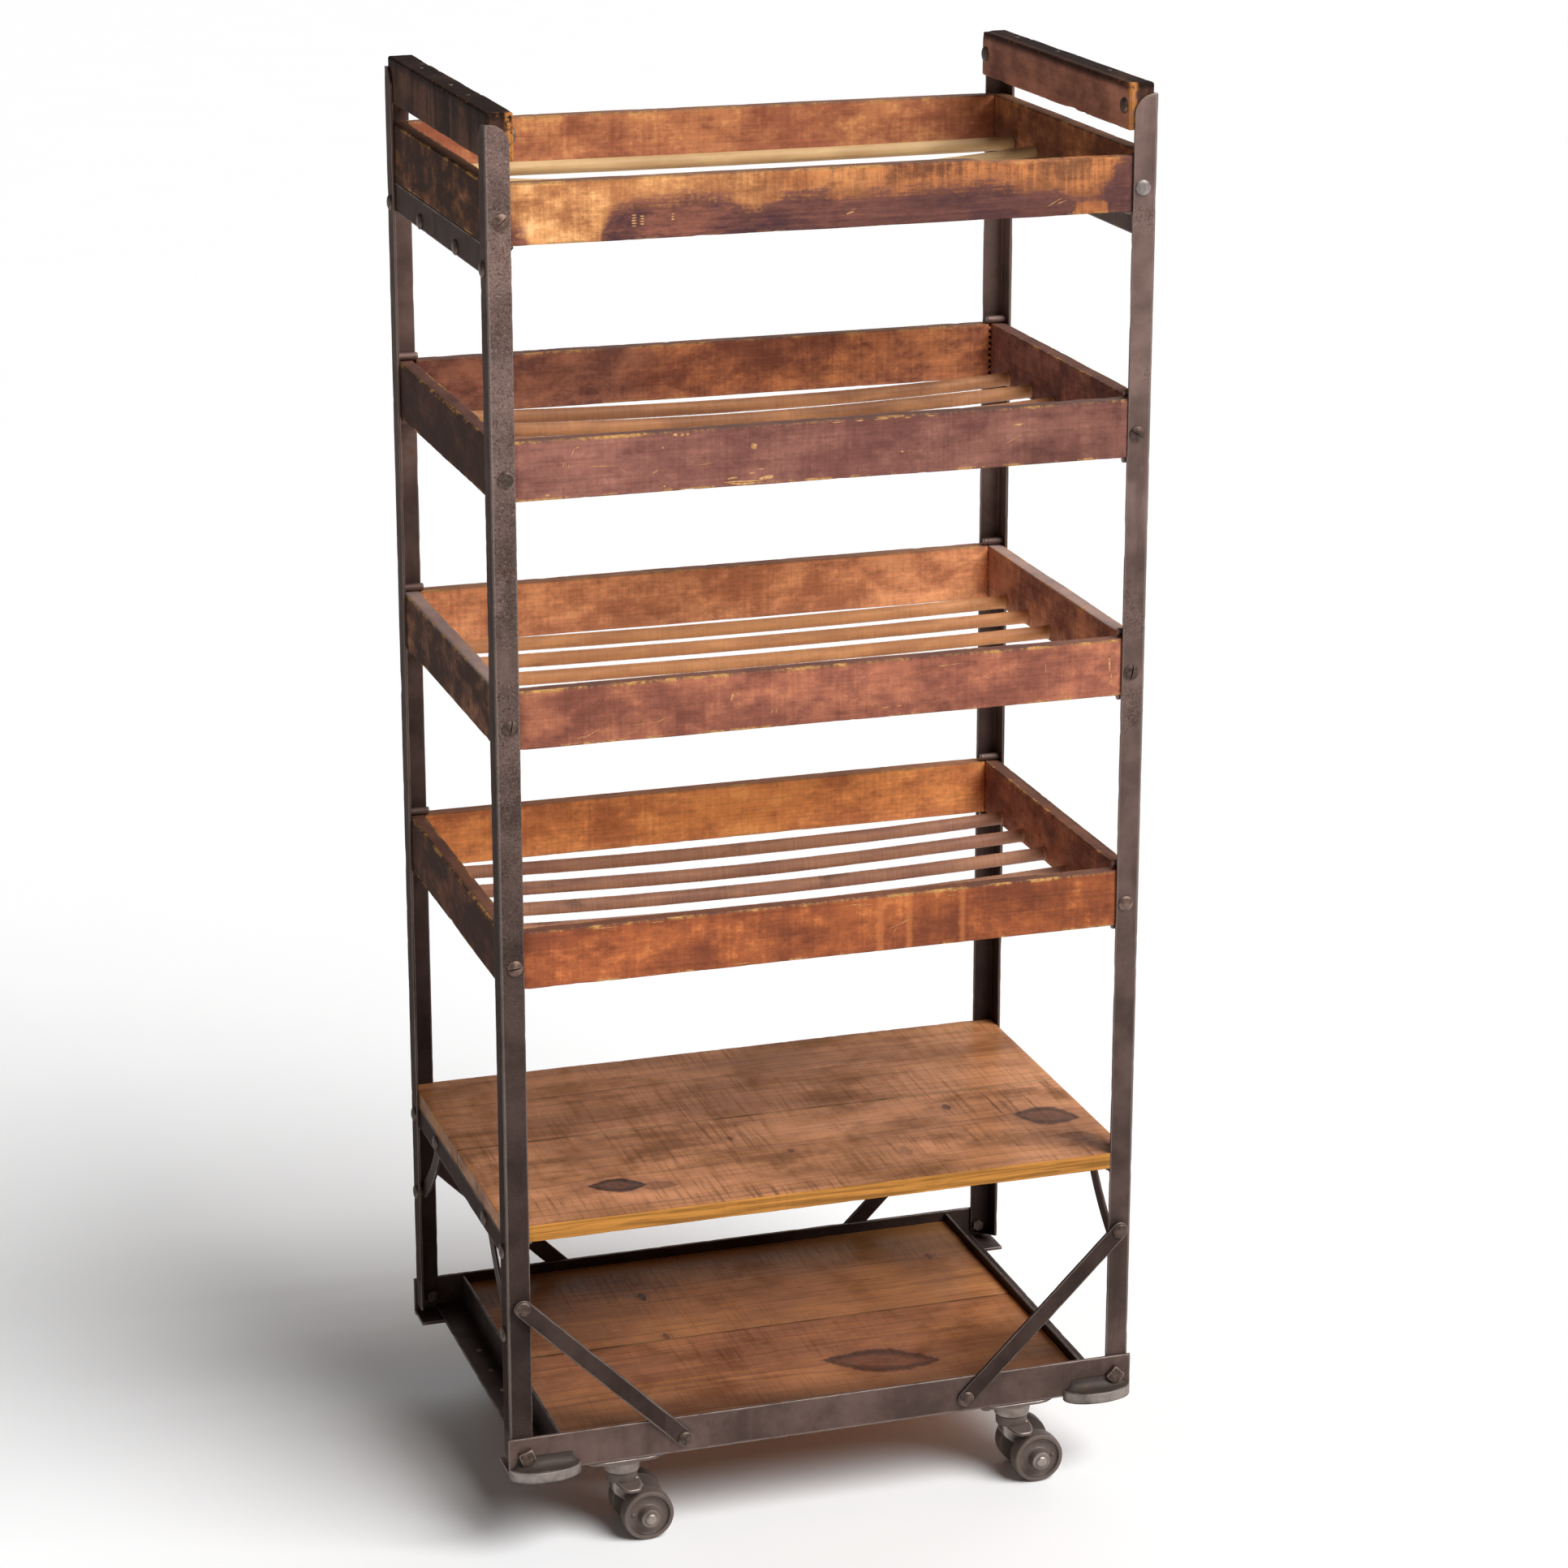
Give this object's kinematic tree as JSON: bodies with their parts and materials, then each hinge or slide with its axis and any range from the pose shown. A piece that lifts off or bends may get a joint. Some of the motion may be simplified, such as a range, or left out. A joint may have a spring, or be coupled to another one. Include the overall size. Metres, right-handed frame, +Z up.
{
  "type": "rolling storage rack",
  "caption": "Tall rolling rack: dark angle-iron frame with wooden push handles, dowel-bottomed wooden trays, a plank shelf and a plank deck, on twin-wheel swivel casters.",
  "frame": {"origin": "on the floor, under the middle of the frame", "axes": "+Z up, +X to the right seen from the front, -Y to the front"},
  "size_m": [0.7704, 0.5206, 1.6667],
  "materials": {
    "frame_steel": "dark brown-grey patina, pitted, worn bright along the edges",
    "caster_iron": "grey-brown, half polished by wear",
    "tray_wood": "red-brown stain, worn to ochre at edges and scratches",
    "handle_wood": "dark, greasy and worn",
    "plank_wood": "brown oiled pine with knots and saw marks"
  },
  "bodies": {
    "rack": {"post_front_left": "frame_steel", "brace_front_left": "frame_steel", "caster_plate_front_left": "caster_iron", "post_front_right": "frame_steel", "brace_front_right": "frame_steel", "caster_plate_front_right": "caster_iron", "post_rear_left": "frame_steel", "brace_rear_left": "frame_steel", "caster_plate_rear_left": "caster_iron", "post_rear_right": "frame_steel", "brace_rear_right": "frame_steel", "caster_plate_rear_right": "caster_iron", "handle_left": "handle_wood", "top_tray_angle_left": "frame_steel", "shelf_angle_left": "frame_steel", "side_rail_left": "frame_steel", "handle_right": "handle_wood", "top_tray_angle_right": "frame_steel", "shelf_angle_right": "frame_steel", "side_rail_right": "frame_steel", "front_rail": "frame_steel", "deck_front_plank": "plank_wood", "shelf_front_plank": "plank_wood", "rear_rail": "frame_steel", "deck_rear_plank": "plank_wood", "shelf_rear_plank": "plank_wood", "tray_1_front_board": "tray_wood", "tray_1_rear_board": "tray_wood", "tray_1_left_board": "tray_wood", "tray_1_right_board": "tray_wood", "tray_2_front_board": "tray_wood", "tray_2_rear_board": "tray_wood", "tray_2_left_board": "tray_wood", "tray_2_right_board": "tray_wood", "tray_3_front_board": "tray_wood", "tray_3_rear_board": "tray_wood", "tray_3_left_board": "tray_wood", "tray_3_right_board": "tray_wood", "tray_4_front_board": "tray_wood", "tray_4_rear_board": "tray_wood", "tray_4_left_board": "tray_wood", "tray_4_right_board": "tray_wood"},
    "caster_front_left": {"caster_front_left_fork": "caster_iron", "caster_front_left_axle": "caster_iron"},
    "wheel_front_left_front": {"caster_front_left_wheel_front": "caster_iron"},
    "wheel_front_left_rear": {"caster_front_left_wheel_rear": "caster_iron"},
    "caster_front_right": {"caster_front_right_fork": "caster_iron", "caster_front_right_axle": "caster_iron"},
    "wheel_front_right_front": {"caster_front_right_wheel_front": "caster_iron"},
    "wheel_front_right_rear": {"caster_front_right_wheel_rear": "caster_iron"},
    "caster_rear_left": {"caster_rear_left_fork": "caster_iron", "caster_rear_left_axle": "caster_iron"},
    "wheel_rear_left_front": {"caster_rear_left_wheel_front": "caster_iron"},
    "wheel_rear_left_rear": {"caster_rear_left_wheel_rear": "caster_iron"},
    "caster_rear_right": {"caster_rear_right_fork": "caster_iron", "caster_rear_right_axle": "caster_iron"},
    "wheel_rear_right_front": {"caster_rear_right_wheel_front": "caster_iron"},
    "wheel_rear_right_rear": {"caster_rear_right_wheel_rear": "caster_iron"}
  },
  "joints": [
    {"name": "swivel_front_left", "type": "hinge", "parent": "rack", "child": "caster_front_left", "pos_m": [-0.2425, -0.2123, 0.09], "axis": [0, 0, 1], "continuous": true},
    {"name": "roll_front_left_front", "type": "hinge", "parent": "caster_front_left", "child": "wheel_front_left_front", "pos_m": [-0.2195, -0.2383, 0.0305], "axis": [0, 1, 0], "continuous": true},
    {"name": "roll_front_left_rear", "type": "hinge", "parent": "caster_front_left", "child": "wheel_front_left_rear", "pos_m": [-0.2195, -0.1863, 0.0305], "axis": [0, 1, 0], "continuous": true},
    {"name": "swivel_front_right", "type": "hinge", "parent": "rack", "child": "caster_front_right", "pos_m": [0.2425, -0.2123, 0.09], "axis": [0, 0, 1], "continuous": true},
    {"name": "roll_front_right_front", "type": "hinge", "parent": "caster_front_right", "child": "wheel_front_right_front", "pos_m": [0.2655, -0.2383, 0.0305], "axis": [0, 1, 0], "continuous": true},
    {"name": "roll_front_right_rear", "type": "hinge", "parent": "caster_front_right", "child": "wheel_front_right_rear", "pos_m": [0.2655, -0.1863, 0.0305], "axis": [0, 1, 0], "continuous": true},
    {"name": "swivel_rear_left", "type": "hinge", "parent": "rack", "child": "caster_rear_left", "pos_m": [-0.2425, 0.2123, 0.09], "axis": [0, 0, 1], "continuous": true},
    {"name": "roll_rear_left_front", "type": "hinge", "parent": "caster_rear_left", "child": "wheel_rear_left_front", "pos_m": [-0.2195, 0.1863, 0.0305], "axis": [0, 1, 0], "continuous": true},
    {"name": "roll_rear_left_rear", "type": "hinge", "parent": "caster_rear_left", "child": "wheel_rear_left_rear", "pos_m": [-0.2195, 0.2383, 0.0305], "axis": [0, 1, 0], "continuous": true},
    {"name": "swivel_rear_right", "type": "hinge", "parent": "rack", "child": "caster_rear_right", "pos_m": [0.2425, 0.2123, 0.09], "axis": [0, 0, 1], "continuous": true},
    {"name": "roll_rear_right_front", "type": "hinge", "parent": "caster_rear_right", "child": "wheel_rear_right_front", "pos_m": [0.2655, 0.1863, 0.0305], "axis": [0, 1, 0], "continuous": true},
    {"name": "roll_rear_right_rear", "type": "hinge", "parent": "caster_rear_right", "child": "wheel_rear_right_rear", "pos_m": [0.2655, 0.2383, 0.0305], "axis": [0, 1, 0], "continuous": true}
  ]
}
